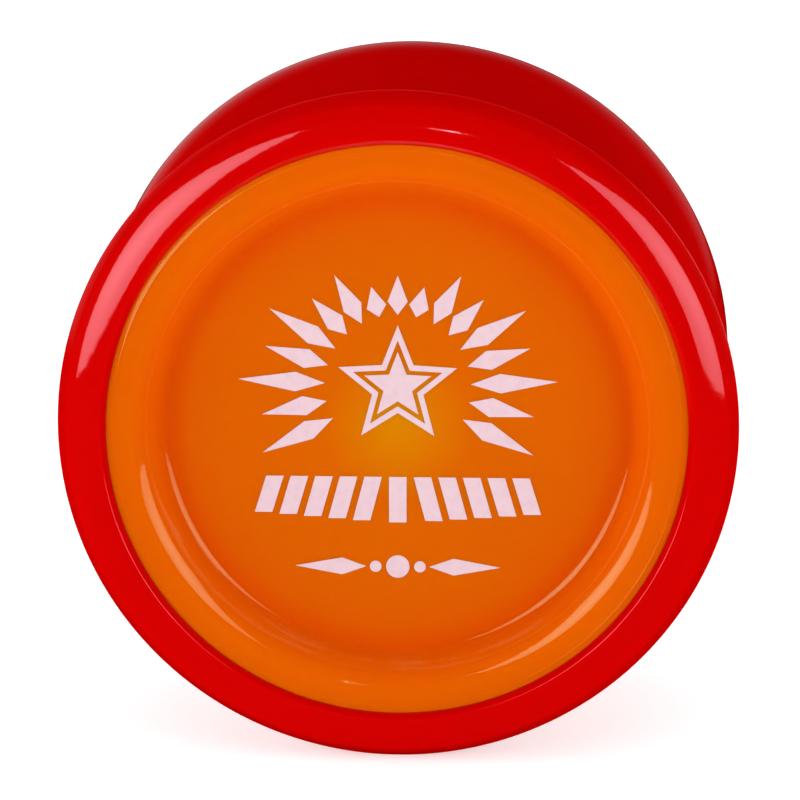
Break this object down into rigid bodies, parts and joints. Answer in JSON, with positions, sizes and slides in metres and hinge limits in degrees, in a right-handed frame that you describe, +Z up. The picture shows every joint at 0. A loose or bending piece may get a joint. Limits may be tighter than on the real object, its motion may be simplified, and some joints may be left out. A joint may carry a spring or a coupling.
{
  "type": "yo yo",
  "caption": "Wide-flare ball-bearing yo-yo with two red flared halves, dished orange side caps and a screwed axle.",
  "frame": {"origin": "the middle of the bearing, which is the centre of the whole yo-yo", "axes": "+Y along the axle, away from the front half; +Z up, with the yo-yo standing on its two rims"},
  "size_m": [0.0576, 0.0358, 0.0576],
  "materials": {
    "shell_red": "glossy moulded plastic",
    "cap_orange": "glossy, slightly translucent moulded plastic with a pale print",
    "brass": "turned, satin",
    "axle_steel": "zinc plated, threaded",
    "bearing_steel": "ground and polished",
    "ball_chrome": "mirror polished",
    "pad": "matt silicone"
  },
  "bodies": {
    "back_half": {"back_half_shell": "shell_red", "back_side_cap": "cap_orange", "back_hex_nut": "brass", "back_spacer": "brass", "back_response_pad": "pad", "axle_stud": "axle_steel", "bearing_inner_race": "bearing_steel"},
    "bearing_ring": {"bearing_outer_race": "bearing_steel", "back_bearing_shield": "bearing_steel", "front_bearing_shield": "bearing_steel", "back_bearing_snap_ring": "bearing_steel", "front_bearing_snap_ring": "bearing_steel"},
    "ball_set": {"bearing_cage": "brass", "bearing_ball_1": "ball_chrome", "bearing_ball_2": "ball_chrome", "bearing_ball_3": "ball_chrome", "bearing_ball_4": "ball_chrome", "bearing_ball_5": "ball_chrome", "bearing_ball_6": "ball_chrome", "bearing_ball_7": "ball_chrome", "bearing_ball_8": "ball_chrome"},
    "front_carrier": {"front_spacer": "brass"},
    "front_half": {"front_half_shell": "shell_red", "front_side_cap": "cap_orange", "front_hex_nut": "brass", "front_response_pad": "pad"}
  },
  "joints": [
    {"name": "bearing_spin", "type": "hinge", "parent": "back_half", "child": "bearing_ring", "pos_m": [0, 0, 0], "axis": [0, 1, 0], "continuous": true},
    {"name": "ball_orbit", "type": "hinge", "parent": "back_half", "child": "ball_set", "pos_m": [0, 0, 0], "axis": [0, 1, 0], "continuous": true},
    {"name": "front_half_travel", "type": "slide", "parent": "back_half", "child": "front_carrier", "axis": [0, -1, 0], "range_m": [0, 0.00315]},
    {"name": "front_half_unscrew", "type": "hinge", "parent": "front_carrier", "child": "front_half", "pos_m": [0, 0, 0], "axis": [0, -1, 0], "range_deg": [0, 1620]}
  ],
  "couplings": [
    {"joint": "ball_orbit", "follows": "bearing_spin", "ratio": 0.59925},
    {"joint": "front_half_travel", "follows": "front_half_unscrew", "m_per_rad": 0.00011141}
  ]
}
